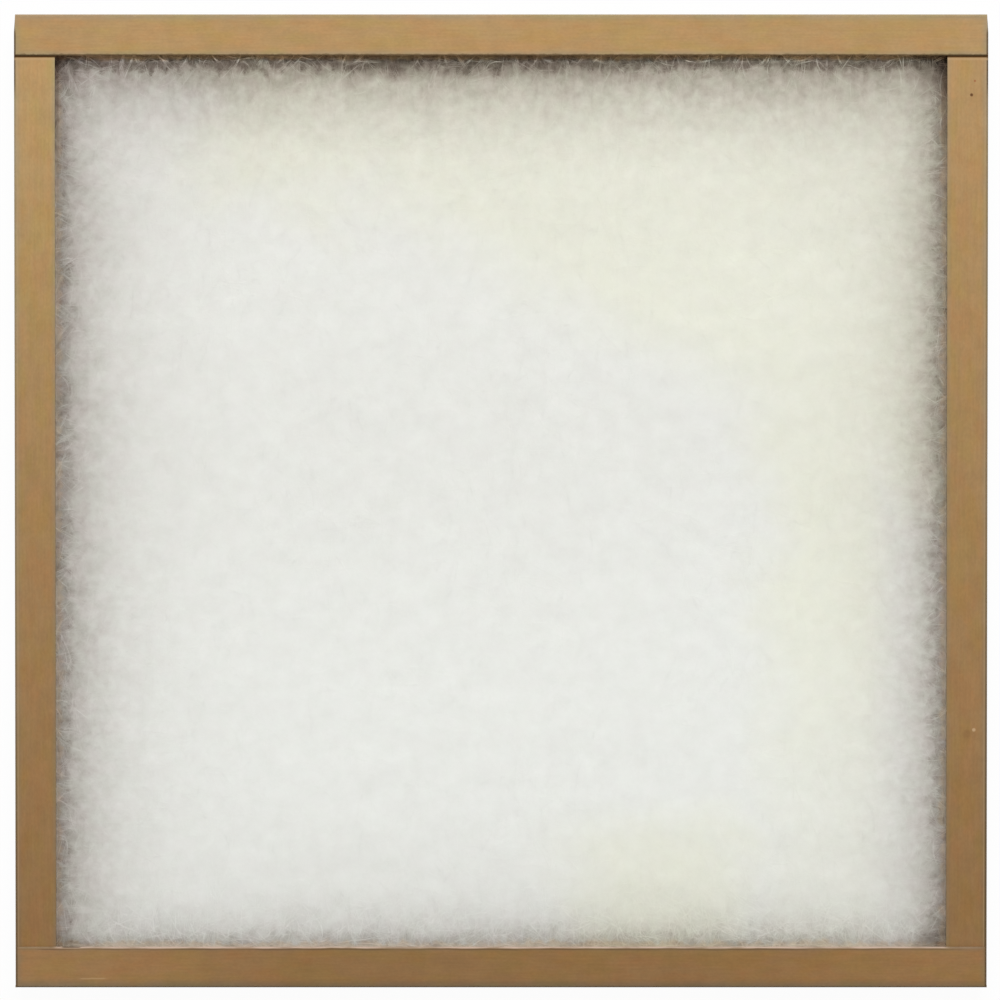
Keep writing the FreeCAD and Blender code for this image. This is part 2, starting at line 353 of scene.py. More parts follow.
def fold_shade_and_highlight(board, faint, half_wide):
    """The painted shade line of a side rail's outer fold, faint up to the middle, and the painted highlight
    of the ridge beside it.
    """
    centre = board.ramp(board.y, FILTER_LOW.y, FILTER_HIGH.y, *FOLD_SHADE_PLACE)
    away = board.size_of(board.less(board.inward, centre))
    dark_band_mask = board.fade(away, half_wide + SHARP, half_wide - SHARP)
    dark_band_mask = board.product(dark_band_mask, board.fade(board.y, 0.0, FILTER_LOW.y, faint, 0.85))
    # painted shade where the fold turns away from the light
    board.lay_in_front(dark_band_mask, PAINTED_SHADE_LINE)
    board.lay(board.product(board.band(board.inward, *FOLD_HIGHLIGHT), 0.3), PALE_SCUFF_AND_HIGHLIGHT)


def seam_shadow_and_highlight(board):
    """A side rail's painted shade at its outer corner under the top lip, and the painted shadow of that
    lip's edge with a painted highlight below it.
    """
    # painted shade at the outer corner under the top lip
    corner = board.fade(board.y, *CORNER_RISE, 0.0, 0.8)
    corner = board.product(corner, board.fade(board.inward, *CORNER_WIDTH))
    board.lay_in_front(corner, PAINTED_SHADE_LINE)
    # painted shadow of the top lip's edge, and a painted highlight below it
    board.lay_in_front(board.band(board.y, *TOP_LIP_SHADOW_BAND), SEAM_SHADE)
    board.lay_in_front(board.product(board.band(board.y, *TOP_LIP_HIGHLIGHT_BAND), 0.55), PALE_SCUFF_AND_HIGHLIGHT)


def left_marks(board):
    """The side rails' marks on paper that is a little lighter near the top."""
    board.tint(board.fade(board.y, 0.0, 180 * MM), LIGHT_LEFT)
    fold_shade_and_highlight(board, 0.12, 0.25 * MM)
    seam_shadow_and_highlight(board)


def right_marks(board):
    """The side rails' marks, and the specks that the photograph shows on this rail only."""
    fold_shade_and_highlight(board, 0.3, 0.45 * MM)
    seam_shadow_and_highlight(board)
    for x, y, radius, strength, colour in SPECKS:
        board.lay(board.product(board.spot(x, y, radius), strength), colour)


def top_marks(board):
    """Painted shade along the ragged cut edge over the pad, and the ends' dark corners as painted shade
    lines.
    """
    ragged = board.total(board.inward, board.stray(*EDGE_SHADE_WANDER))
    # painted shade along the cut edge
    edge_shade = board.fade(ragged, *(board.lip - back for back in EDGE_SHADE_WIDTH), 0.0, 0.85)
    board.lay(edge_shade, PAINTED_EDGE_SHADE)
    # painted shade lines at the ends' outer edges
    ends = board.fade(board.size_of(board.x), *(FILTER_HIGH.x - width for width in END_WIDTH))
    low = board.fade(board.y, *END_RISE, 0.0, 0.75)
    board.lay_in_front(board.product(ends, low), PAINTED_SHADE_LINE)


def torn_edge_and_highlight(board, middle):
    """The bottom rail's torn pale edge over the pad, partly a painted highlight, and the dark line behind
    it, faint over the side rails.
    """
    # pale torn paper, partly a painted highlight
    torn = board.band(board.across, board.lip - 0.7 * MM, board.lip + 2 * MM, SOFT)
    torn = board.product(torn, board.fade(board.grain(*TORN_GRAIN), 0.3, 0.6, 0.45, 0.95))
    torn = board.product(torn, board.fade(middle, LIP_X - 2 * MM, LIP_X + 3 * MM, 1.0, 0.12))
    board.lay(torn, TORN_PAPER_AND_HIGHLIGHT)
    dark_band_mask = board.band(board.across, board.lip - 1.6 * MM, board.lip - 1.1 * MM, SOFT)
    dark_band_mask = board.product(dark_band_mask, board.fade(board.grain(*BEHIND_EDGE_GRAIN), 0.35, 0.6, 0.3, 0.75))
    dark_band_mask = board.product(dark_band_mask, board.fade(middle, LIP_X + 6 * MM, LIP_X + 12 * MM, 1.0, 0.3))
    board.lay(dark_band_mask, BEHIND_EDGE_DARK)


def scuff_and_edge_shade(board):
    """The bottom rail's pale scuff, and a painted shade line at its cut edge, both near its left end."""
    scuff = board.band(board.x, -214.5 * MM, -201.7 * MM, 1.5 * MM)
    scuff = board.product(scuff, board.band(board.across, 4.3 * MM, 4.9 * MM, SOFT))
    board.lay(board.product(scuff, 0.5), PALE_SCUFF_AND_HIGHLIGHT)
    edge = board.band(board.inward, board.lip - 0.45 * MM, board.lip + 2 * MM, SHARP)
    # painted shade line at the cut edge
    gap_shade = board.product(board.band(board.x, -223.5 * MM, -214.5 * MM, 1 * MM), edge)
    board.lay(board.product(gap_shade, 0.8), PAINTED_SHADE_LINE)


def bottom_marks(board):
    """Paper lighter at the ends and painted shade along the fold, the torn edge with its painted highlight,
    painted shade lines along the fold and at the ends, and the scuff with its painted shade line.
    """
    middle = board.size_of(board.x)
    board.tint(board.fade(middle, 90 * MM, 220 * MM), LIGHT_ENDS)
    board.tint(board.fade(board.x, -90 * MM, -220 * MM), PALE_END)
    # painted shade along the fold
    board.tint(board.fade(board.across, 5 * MM, 1 * MM), FOLD_PAINTED_SHADE)
    torn_edge_and_highlight(board, middle)
    # painted shade lines on the fold, and at the ends
    board.lay_in_front(board.band(board.inward, -1 * MM, 0.5 * MM, SOFT), FOLD_PAINTED_SHADE_LINE)
    ends = board.band(middle, FILTER_HIGH.x - 1.2 * MM, FILTER_HIGH.x, SHARP)
    board.lay_in_front(board.product(ends, 0.8), PAINTED_SHADE_LINE)
    scuff_and_edge_shade(board)


# Rail, the axis that crosses it, the way it faces and its own marks
RAILS = (
    ("top_rail", 1, 1, top_marks),
    ("bottom_rail", 1, -1, bottom_marks),
    ("left_rail", 0, -1, left_marks),
    ("right_rail", 0, 1, right_marks),
)


def dress(node, material):
    """Puts a material on a piece of the frame, which keeps its shape."""
    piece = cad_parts[node]
    piece.data.materials.clear()
    piece.data.materials.append(material)


for rail, axis, facing, marks in RAILS:
    board = Board(rail, axis, facing)
    marks(board)
    dress(rail, board.material_of())


# The pad's skin

PAD_COLUMNS = 150
BACK_RELIEF = 0.2 * MM
LUMPS = ((14 * MM, 11, 0.5 * MM), (6 * MM, 12, 0.45 * MM), (3 * MM, 13, 0.3 * MM))  # width, seed and height
LUMPS_FADE = 20 * MM  # from the lips in, the lumps fall to CALM of their height
CALM = 0.4
SUNK = 0.5 * MM  # how far the lumpy front lies under the crown on average
HOLLOW = (1 * MM, 7 * MM, 0.7 * MM)  # the hollow along the lips: place of its bed, half width and depth


def ripple(x, y, cell, seed):
    """Smooth random relief from -1 to 1, with bumps about a cell wide."""
    count = int(FACE.x / cell) + 4
    heights = np.random.default_rng(seed).uniform(-1, 1, (count, count))
    across = np.clip((x - FILTER_LOW.x) / cell + 1, 0, count - 2.001)
    up = np.clip((y - FILTER_LOW.y) / cell + 1, 0, count - 2.001)
    column, row = across.astype(int), up.astype(int)
    over, above = across - column, up - row
    over, above = over * over * (3 - 2 * over), above * above * (3 - 2 * above)
    near = heights[column, row] * (1 - over) + heights[column + 1, row] * over
    far = heights[column, row + 1] * (1 - over) + heights[column + 1, row + 1] * over
    return near * (1 - above) + far * above


def inside_lips(x, y):
    """Distance from the nearest lip's free edge, in towards the middle. Negative under the lips."""
    return np.minimum(LIP_X - np.abs(x), LIP_Y - np.abs(y))


def crown(x, y):
    """Height of the pad's front over a point of its plan: thin in the rails, full in the middle."""
    run = PAD_HIGH.x - LIP_X + CROWN_REACH
    rise = PAD_HIGH.z - PAD_LOW.z - RIM_THICK
    bend = (run * run + rise * rise) / (2 * rise)
    short = np.clip(CROWN_REACH - inside_lips(x, y), 0, run)
    return PAD_HIGH.z - bend + np.sqrt(bend * bend - short * short)


def loft(x, y):
    """The crown with the lumps of loose fibre, and a ragged hollow along the lips."""
    inside = inside_lips(x, y)
    lumps = sum(ripple(x, y, width, seed) * height for width, seed, height in LUMPS)
    lumps *= CALM + (1 - CALM) * np.exp(-np.clip(inside, 0, None) / LUMPS_FADE)
    bed, half_wide, depth = HOLLOW
    hollow = np.clip(1 - np.abs(inside - bed) / half_wide, 0, 1)
    ragged = 0.6 + 0.4 * ripple(x, y, 9 * MM, 14)
    return crown(x, y) + lumps - SUNK - hollow * ragged * depth


def new_piece(name, mesh, material, shades=True):
    """A piece of the scene that stays with the filter's body."""
    piece = bpy.data.objects.new(name, mesh)
    piece.visible_shadow = shades
    bpy.context.scene.collection.objects.link(piece)
    mesh.materials.append(material)
    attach(piece, "root")
    return piece


def faceted_mesh(name, points, loops, starts):
    """A mesh from flat arrays: points, the corners of its faces in a row, and where each face starts."""
    mesh = bpy.data.meshes.new(name)
    mesh.vertices.add(len(points))
    mesh.vertices.foreach_set("co", points.astype(np.float32).ravel())
    mesh.loops.add(len(loops))
    mesh.loops.foreach_set("vertex_index", loops.astype(np.int32))
    mesh.polygons.add(len(starts))
    mesh.polygons.foreach_set("loop_start", starts.astype(np.int32))
    mesh.update(calc_edges=True)
    mesh.validate()
    return mesh


def rounded_plan(columns):
    """A grid of X and Y over the pad, drawn in at its corners so that its edge rounds them."""
    steps = np.linspace(-1, 1, columns)
    x, y = np.meshgrid(steps * PAD_HIGH.x, steps * PAD_HIGH.y, indexing="ij")
    corner_x, corner_y = PAD_HIGH.x - PAD_CORNER, PAD_HIGH.y - PAD_CORNER
    past_x = np.clip(np.abs(x) - corner_x, 0, None)
    past_y = np.clip(np.abs(y) - corner_y, 0, None)
    reach = np.hypot(past_x, past_y)
    pull = np.where(reach > 0, np.maximum(past_x, past_y) / np.maximum(reach, 1e-9), 1.0)
    x = np.where(reach > 0, np.sign(x) * (np.minimum(np.abs(x), corner_x) + past_x * pull), x)
    y = np.where(reach > 0, np.sign(y) * (np.minimum(np.abs(y), corner_y) + past_y * pull), y)
    return x, y


def skin_faces(columns):
    """The four-cornered faces of a skin whose back points follow its front ones in the same order."""
    count = columns * columns
    index = np.arange(count).reshape(columns, columns)
    a, b, c, d = index[:-1, :-1], index[1:, :-1], index[1:, 1:], index[:-1, 1:]
    front = np.stack([a, b, c, d], -1).reshape(-1, 4)
    back = np.stack([d, c, b, a], -1).reshape(-1, 4) + count
    rim = np.concatenate([index[:, 0], index[-1, 1:], index[-2::-1, -1], index[0, -2:0:-1]])
    after = np.roll(rim, -1)
    wall = np.stack([after, rim, rim + count, after + count], -1)
    return np.concatenate([front, back, wall])


def pad_mesh(columns):
    """The pad as one closed skin: a lumpy front, a flat back and a thin wall round its edge."""
    x, y = rounded_plan(columns)
    front = np.stack([x, y, loft(x, y)], -1).reshape(-1, 3)
    back_z = PAD_LOW.z + np.abs(ripple(x, y, 5 * MM, 15)) * BACK_RELIEF
    back = np.stack([x, y, back_z], -1).reshape(-1, 3)
    faces = skin_faces(columns)
    starts = np.arange(len(faces)) * 4
    mesh = faceted_mesh("pad_skin", np.concatenate([front, back]), faces.ravel(), starts)
    mesh.shade_smooth()
    return mesh


# The pad's fibres

TUBE_OWN = 0.25  # share of a fibre's normals that is the tube's own
TAPER = ((0, 0.15, 0.85, 1), (0.35, 1, 1, 0.35))  # places along a fibre, and its thickness there
WISP = 3  # fibres in a bundle
LONG_CURL = 1 / (26 * MM)  # spread of the bends of long fibres, then of short ones and of bundles
SHORT_CURL = 1 / (13 * MM)
WISP_CURL = 1 / (20 * MM)


def way_out(paths):
    """Up for fibres of the pad's front, down for those of its back."""
    return 1.0 if paths[..., 2].mean() > PAD_LOW.z + 2 * MM else -1.0


def tube_spokes(paths):
    """The ways from each point of a path to its tube's three corners, a flat side turned out of the mat."""
    along = np.gradient(paths, axis=1)
    along /= np.linalg.norm(along, axis=2, keepdims=True)
    side = np.cross(along, (0.0, 0.0, way_out(paths)))
    side /= np.maximum(np.linalg.norm(side, axis=2, keepdims=True), 1e-6)
    lift = np.cross(side, along)
    return [math.cos(turn) * side + math.sin(turn) * lift for turn in np.radians((-90, 30, 150))]


def tube_faces(fibres, points):
    """Corners in a row and the start of each face, for three-sided tubes with closed ends."""
    index = np.arange(fibres * points * 3).reshape(fibres, points, 3)
    here, there = index, np.roll(index, -1, axis=2)
    quads = np.stack([here[:, :-1], here[:, 1:], there[:, 1:], there[:, :-1]], -1).reshape(-1, 4)
    caps = np.concatenate([index[:, 0], index[:, -1, ::-1]])
    loops = np.concatenate([quads.ravel(), caps.ravel()])
    starts = np.concatenate([np.arange(len(quads)) * 4, quads.size + np.arange(len(caps)) * 3])
    return loops, starts


def tubes(name, paths, radius):
    """Thin closed three-sided tubes along paths, an array of fibres by points by X, Y and Z.

    Loose glass scatters light, so their normals look mostly straight out of the mat.
    """
    fibres, points, _ = paths.shape
    spokes = tube_spokes(paths)
    taper = np.interp(np.linspace(0, 1, points), *TAPER)
    reach = (radius[:, None] * taper[None, :])[..., None]
    corners = np.stack([paths + reach * spoke for spoke in spokes], 2).reshape(-1, 3)
    mesh = faceted_mesh(name, corners, *tube_faces(fibres, points))
    facing = np.stack(spokes, 2).reshape(-1, 3) * TUBE_OWN
    facing[:, 2] += (1 - TUBE_OWN) * way_out(paths)
    mesh.shade_smooth()
    mesh.normals_split_custom_set_from_vertices(facing / np.linalg.norm(facing, axis=1, keepdims=True))
    return mesh


def swirl(rng, x, y, heading, length, curl, points, together=1):
    """Plan of curved fibres: each starts at x, y along its heading and bends as it goes.

    Fibres that lie together, so many in a row, bend alike.
    """
    step = length / (points - 1)
    bend, change = np.repeat(rng.normal(0, curl, (2, len(x) // together)), together, axis=1)
    share = np.linspace(-1, 1, points - 1)
    turns = step[:, None] * (bend[:, None] + change[:, None] * share[None, :])
    angle = heading[:, None] + np.cumsum(turns, axis=1)
    dx, dy = step[:, None] * np.cos(angle), step[:, None] * np.sin(angle)
    px = np.concatenate([x[:, None], x[:, None] + np.cumsum(dx, axis=1)], axis=1)
    py = np.concatenate([y[:, None], y[:, None] + np.cumsum(dy, axis=1)], axis=1)
    keep_x, keep_y = PAD_HIGH.x - 2 * MM, PAD_HIGH.y - 2 * MM
    return np.clip(px, -keep_x, keep_x), np.clip(py, -keep_y, keep_y)


def arch(points):
    """The rise of a bowed fibre at each of its points, 0 at its ends and 1 at its middle."""
    return np.sin(math.pi * np.linspace(0, 1, points))[None, :]


def under_lips(x, y, z, radius):
    """Keeps fibres below the lips where they run under them."""
    room = LIP_UNDER - 0.25 * MM - radius[:, None]
    free = np.clip((inside_lips(x, y) - 0.6 * MM) / (6 * MM), 0, 1)
    return np.where(free < 1, np.minimum(z, room + free * 4 * MM), z)


def surface_fibres(rng, radius, points):
    """Long fibres that lie over the pad in every direction, some sunk in and some standing proud."""
    count = len(radius)
    spread = PAD_HIGH.x - 8 * MM
    x, y = rng.uniform(-spread, spread, (2, count))
    length = rng.uniform(12, 42, count) * MM
    px, py = swirl(rng, x, y, rng.uniform(0, math.tau, count), length, LONG_CURL, points)
    depth = rng.uniform(-0.25, 0.75, count)[:, None] * MM
    bow = rng.exponential(0.45, count)[:, None] * MM * arch(points)
    z = loft(px, py) + depth + np.minimum(bow, 1.2 * MM)
    return np.stack([px, py, under_lips(px, py, z, radius)], -1)


def lip_starts(rng, count):
    """Places along the lips, most of them close by, and the way that faces in towards the middle."""
    side = rng.integers(0, 4, count)
    along = rng.uniform(-LIP_X - 4 * MM, LIP_X + 4 * MM, count)
    edge = LIP_X - np.minimum(rng.exponential(12, count) - 5, 45) * MM
    x = np.select([side == 0, side == 1], [edge, -edge], along)
    y = np.select([side == 2, side == 3], [edge, -edge], along)
    facing = np.select([side == 0, side == 1, side == 2], [math.pi, 0.0, -math.pi / 2], math.pi / 2)
    return x, y, facing


def edge_fibres(rng, radius, points):
    """Short fibres that come out from under the lips all round."""
    count = len(radius)
    x, y, facing = lip_starts(rng, count)
    heading = facing + rng.normal(0, 0.7, count)
    length = rng.uniform(6, 19, count) * MM
    px, py = swirl(rng, x, y, heading, length, SHORT_CURL, points)
    root = rng.uniform(-1.5, 0.8, count)[:, None] * MM
    bow = rng.uniform(0, 2.2, count)[:, None] * MM * arch(points)
    z = loft(px, py) + root * np.linspace(1, 0, points)[None, :] + bow
    return np.stack([px, py, under_lips(px, py, z, radius)], -1)


def edge_wisps(rng, radius, points):
    """Small bundles of fibres that stand out from the mat beside the lips."""
    count = len(radius)
    bundles = count // WISP
    x, y, facing = (np.repeat(value, WISP) for value in lip_starts(rng, bundles))
    x, y = x + rng.normal(0, 0.35, count) * MM, y + rng.normal(0, 0.35, count) * MM
    heading = facing + np.repeat(rng.normal(0, 0.8, bundles), WISP) + rng.normal(0, 0.05, count)
    length = np.repeat(rng.uniform(5, 17, bundles), WISP) * rng.uniform(0.8, 1.1, count) * MM
    px, py = swirl(rng, x, y, heading, length, WISP_CURL, points, WISP)
    bow = np.repeat(rng.uniform(0.3, 1.8, bundles), WISP)[:, None] * MM * arch(points)
    z = loft(px, py) + rng.uniform(0, 0.5, count)[:, None] * MM + bow
    return np.stack([px, py, under_lips(px, py, z, radius)], -1)


def back_fibres(rng, radius, points):
    """Flatter fibres on the pad's back, pressed level with the net that they are bonded to."""
    count = len(radius)
    spread = LIP_X - 2 * MM
    x, y = rng.uniform(-spread, spread, (2, count))
    length = rng.uniform(14, 40, count) * MM
    px, py = swirl(rng, x, y, rng.uniform(0, math.tau, count), length, LONG_CURL, points)
    sag = rng.uniform(0.0, 0.22, count)[:, None] * MM * np.ones(points)[None, :]
    free = np.clip(inside_lips(px, py) / (8 * MM), 0, 1)
    z = PAD_LOW.z + 0.1 * MM - sag * free
    return np.stack([px, py, z], -1)


# Spun glass

COOL_WHITE = tone(233, 234, 229)
WARM_WHITE = tone(233, 234, 221)

# Tints that multiply the glass's white: the two browns are painted light bounced from the board beside the
# lips
FAINT_BOARD_BOUNCE = (1.0, 0.89, 0.78, 1.0)
DEEP_BOARD_BOUNCE = (1.0, 0.67, 0.4, 1.0)
PINKISH = (1.03, 0.985, 1.01, 1.0)
GREENISH = (0.985, 1.012, 0.985, 1.0)

# How the mat is painted darker towards each lip, as painted shade: the share of light lost beside it, how
# far in that reaches, the share lost in the pits along it, how much painted light comes back right beside
# the lip, how far in that reaches, the board's colour bounced on it there as painted light, and how torn
# that colour's edge is
Fall = namedtuple("Fall", "share reach pit back beside brown torn")
FALLS = {
    "top": Fall(0.73, 27 * MM, 0.34, 2.8, 4.2 * MM, DEEP_BOARD_BOUNCE, 0.2),
    "left": Fall(0.545, 24 * MM, 0.1, 1.3, 0.25 * MM, FAINT_BOARD_BOUNCE, 0.6),
    "right": Fall(0.555, 20 * MM, 0.1, 1.3, 0.25 * MM, FAINT_BOARD_BOUNCE, 0.6),
    "bottom": Fall(0.35, 12 * MM, 0.02, 1.16, 1.8 * MM, FAINT_BOARD_BOUNCE, 0.6),
}
FALL_START = 3 * MM  # nearer to a lip than this the fall gets no darker
BACK_SHADE = (4 * MM, 8 * MM, 0.3, 1.0)  # heights between which the shade grows, from its share at the back
PITS = (1 * MM, 6.5 * MM, 2.5 * MM)  # where the painted shade of the pits along a lip starts and ends, and its feather
BROWN_REACH = (3.4 * MM, 0.2 * MM)  # where the painted bounce of the board's colour starts beside a lip, and where it is full

# The two lips that make a corner, how far from it the extra painted shade reaches, and the share of light it
# takes
CORNER_SHADES = (
    ("left", "top", 150 * MM, 0.06),
    ("right", "top", 150 * MM, 0.06),
    ("left", "top", 20 * MM, 0.25),
    ("right", "top", 26 * MM, 0.48),
    ("right", "bottom", 20 * MM, 0.3),
    ("left", "bottom", 14 * MM, 0.1),
)
# The side lip with a painted shade line right beside it near a corner, the other lip there, the line's width
# and the share of light that it takes
CORNER_LINES = (("left", "top", 1.6 * MM, 0.32), ("right", "top", 2.6 * MM, 0.35))
LINE_ENDS = (75 * MM, 15 * MM)  # distances from the other lip where a line starts, and where it is full

# Where along Y the painted light changes, from and to, and the shares that it loses there, less than 0 for a
# gain
LEANS = (
    (-120 * MM, 60 * MM, -0.03, 0.033),
    (-150 * MM, -190 * MM, 0.0, 0.03),
    (140 * MM, 180 * MM, 0.0, -0.03),
)

# Random unevenness: its reach, the features in a metre along X, Y and Z, its detail and its seed
CLOUDS = (11 * MM, (85, 85, 85), 3, 1.0)
TUFTS = (10 * MM, (210, 210, 210), 3, 2.0)
UPRIGHT_STRANDS = (9 * MM, (250, 70, 70), 3, 5.0)
LEVEL_STRANDS = (8 * MM, (70, 210, 70), 3, 6.0)
SHADE_LUMPS = (1.2, (200, 200, 200), 3, 3.0)
SHADE_STRANDS = (1.2, (600, 130, 130), 3, 10.0)
FELT = (0.1, (110, 110, 110), 3, 8.0)
FINE_FELT = (0.03, (650, 650, 650), 2, 9.0)
BORDER_DRIFT = (90 * MM, (14, 14, 14), 3, 7.0)

# Plain noise: features in a metre along X, Y and Z, detail, roughness and seed
# noise that places the painted shade in the small holes
SHADED_HOLES = ((280, 280, 280), 2, 0.5, 4.0)
PATCHES = ((100, 100, 100), 3, 0.5, 6.0)

# Where the yellower glass starts and is full
YELLOW_TOP = (130 * MM, 175 * MM)  # up the face
YELLOW_TOP_FROM = (-180 * MM, -120 * MM)  # across the face, at the top
YELLOW_RIGHT = (105 * MM, 150 * MM)  # across the face, all the way down
YELLOW_RIGHT_ENDS = (205 * MM, 180 * MM, 0.2, 1.0)  # back from the right lip, from its share beside it
YELLOW_SLANT = (85 * MM, 125 * MM)  # along the slant's own way, which has these shares of X and Y
SLANT_X, SLANT_Y = 0.5, 0.87
YELLOW_FADES = (-190 * MM, -40 * MM, 0.45, 1.0)  # up the face, from its share at the foot
YELLOW_FOOT_ACROSS = (30 * MM, 120 * MM, 30 * MM)  # start, end and feather
YELLOW_FOOT_DOWN = (-150 * MM, -190 * MM)


class Glass(Paint):
    """White glass fibre with painted shade: darker and browner towards the lips, most of all under the top
    one.

    Pits scales the painted shade in the pits beside the lips. Proud is 0 for the mat's own fibres, under it
    for what lies below them and over it for what stands out of them and so takes less of the lips' painted
    shade.
    """

    def __init__(self, name, pits, proud):
        super().__init__(name)
        self.pits = pits
        self.proud = proud
        self.gaps = {
            "top": self.less(LIP_Y, self.y),
            "left": self.total(LIP_X, self.x),
            "right": self.less(LIP_X, self.x),
            "bottom": self.total(LIP_Y, self.y),
        }
        self.light = 1.0
        self.shade()
        self.paint_corner_shade()
        self.lean()
        self.roughen()

    def dim(self, share):
        """Takes a share of the light painted into the colour away."""
        self.light = self.product(self.light, self.less(1.0, share))

    def frayed_gaps(self):
        """Distances from the lips, made uneven by clouds, tufts and strands that run in from each lip."""
        uneven = self.total(self.stray(*CLOUDS), self.stray(*TUFTS))
        upright = self.total(uneven, self.stray(*UPRIGHT_STRANDS))
        level = self.total(uneven, self.stray(*LEVEL_STRANDS))
        strands = {"top": upright, "bottom": upright, "left": level, "right": level}
        return {side: self.total(gap, strands[side]) for side, gap in self.gaps.items()}

    def shade(self):
        """Painted shade falling towards the lips and in the pits along them, and painted light that comes
        back right under them.
        """
        cubes, self.nearest = 0.0, 1.0
        self.frayed = self.frayed_gaps()
        for side, frayed in self.frayed.items():
            fall = FALLS[side]
            away = self.math("DIVIDE", self.larger(frayed, FALL_START), -fall.reach)
            lost = self.product(self.math("EXPONENT", away), fall.share)
            cubes = self.total(cubes, self.cube(lost))
            self.nearest = self.math("MINIMUM", self.nearest, frayed)
            self.dim(self.product(self.band(frayed, *PITS), fall.pit * self.pits))
            start = 0.3 * fall.beside - 0.5 * MM
            self.dim(self.fade(self.gaps[side], start, fall.beside, 1.0 - fall.back, 0.0))
        self.lost = self.math("POWER", cubes, 1 / 3)
        self.dim(self.lost)

    def paint_corner_shade(self):
        """Deeper painted shade in the corners, a painted shade line up the side lips near them, and painted
        shade by the top lip's middle.
        """
        # painted shade in the corners
        for side, end, reach, share in CORNER_SHADES:
            place = self.node("CombineXYZ", {"X": self.gaps[side], "Y": self.gaps[end]})
            away = self.node("VectorMath", {0: place.outputs[0]}, operation="LENGTH").outputs["Value"]
            self.dim(self.fade(away, reach, reach * 0.3, 0.0, share))
        for side, end, wide, share in CORNER_LINES:
            line = self.fade(self.gaps[side], wide, wide - 1 * MM, 0.0, share)
            self.dim(self.product(line, self.fade(self.gaps[end], *LINE_ENDS)))
        middle = self.fade(self.size_of(self.total(self.x, 15 * MM)), 110 * MM, 40 * MM)
        self.dim(self.product(middle, self.fade(self.gaps["top"], 14 * MM, 6 * MM, 0.0, 0.25)))

    def lean(self):
        """A little less painted light above the middle and by the right lip there, and a little more below
        it.
        """
        for start, end, low, high in LEANS:
            self.dim(self.fade(self.y, start, end, low, high))
        by_right = self.fade(self.gaps["right"], 22 * MM, 6 * MM, 0.0, 0.05)
        self.dim(self.product(by_right, self.fade(self.y, -40 * MM, 40 * MM)))

    def roughen(self):
        """Painted shade of lumps and small holes, which shows as far as the painted shade does, a faint felt
        all over, and less painted shade on what stands proud.
        """
        deep = self.cube(self.lost)
        lumps = self.product(self.stray(*SHADE_LUMPS), self.lost)
        self.dim(self.total(lumps, self.product(self.stray(*SHADE_STRANDS), deep)))
        self.dim(self.total(self.stray(*FELT), self.stray(*FINE_FELT)))
        # painted shade in the small holes
        hole_shade = self.fade(self.noise(*SHADED_HOLES), 0.5, 0.74)
        hole_shade = self.product(hole_shade, self.fade(self.nearest, 15 * MM, 3 * MM, 0.0, 0.55 * self.pits))
        self.dim(self.product(hole_shade, self.math("POWER", self.lost, 1.5)))
        self.dim(self.product(deep, -self.proud))

    def white(self):
        """The glass's own white, yellower past an uneven slant at the top right, and at the foot."""
        drift = self.stray(*BORDER_DRIFT)
        x, y = self.total(self.x, drift), self.total(self.y, drift)
        slant = self.total(self.product(x, SLANT_X), self.product(self.y, SLANT_Y))
        top = self.product(self.fade(y, *YELLOW_TOP), self.fade(x, *YELLOW_TOP_FROM))
        strip = self.product(self.fade(x, *YELLOW_RIGHT), self.fade(self.x, *YELLOW_RIGHT_ENDS))
        border = self.larger(self.fade(slant, *YELLOW_SLANT), strip)
        upper = self.product(self.larger(border, top), self.fade(self.y, *YELLOW_FADES))
        foot = self.product(self.band(x, *YELLOW_FOOT_ACROSS), self.fade(y, *YELLOW_FOOT_DOWN))
        return self.mix(self.larger(upper, foot), COOL_WHITE, WARM_WHITE)

    def browned(self, shaded):
        """The painted shade with the board's colour right beside the lips, painted as light bounced from the
        board.
        """
        for side, fall in FALLS.items():
            even = self.product(self.gaps[side], 1 - fall.torn)
            uneven = self.product(self.frayed[side], fall.torn)
            close = self.fade(self.total(even, uneven), *BROWN_REACH)
            shaded = self.mix(close, shaded, fall.brown, "MULTIPLY")
        return shaded

    def material_of(self):
        """White glass in its painted shade, which is faint on the pad's back.

        What little painted light comes back from deep in the mat is brownish.
        """
        green, blue = self.math("POWER", self.light, 1.12), self.math("POWER", self.light, 1.2)
        shaded = self.node("CombineColor", {"Red": self.light, "Green": green, "Blue": blue}).outputs[0]
        shaded = self.browned(shaded)
        cells = self.fade(self.noise(*PATCHES), 0.38, 0.62)
        patches = self.mix(cells, PINKISH, GREENISH)
        shaded = self.mix(self.total(self.lost, 0.1), shaded, patches, "MULTIPLY")
        front = self.fade(self.z, *BACK_SHADE)
        colour = self.mix(front, self.white(), shaded, "MULTIPLY")
        return self.finish(Base_Color=colour, Roughness=0.7, Specular_IOR_Level=0.2)


def yarn():
    """Off-white glass yarn: fine lengthways filaments across each strand."""
    paint = Paint("glass_yarn")
    filaments = paint.noise((1400, 1400, 1400), 2, 0.6, 5.0)
    body = paint.mix(paint.fade(filaments, 0.3, 0.7), tone(206, 206, 198), tone(230, 230, 223))
    return paint.finish(
        Base_Color=body, Roughness=0.45, Specular_IOR_Level=0.4, Normal=paint.bump(filaments, 0.5, 0.1 * MM)
    )


pad_glass = Glass("spun_glass_pad", 1.3, -0.45).material_of()
fibre_glass = Glass("spun_glass_fibre", 0.9, 0.0).material_of()
wisp_glass = Glass("spun_glass_wisp", 0.4, 1.3).material_of()

pad = new_piece("glass_pad", pad_mesh(PAD_COLUMNS), pad_glass)
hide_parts("media_pad")

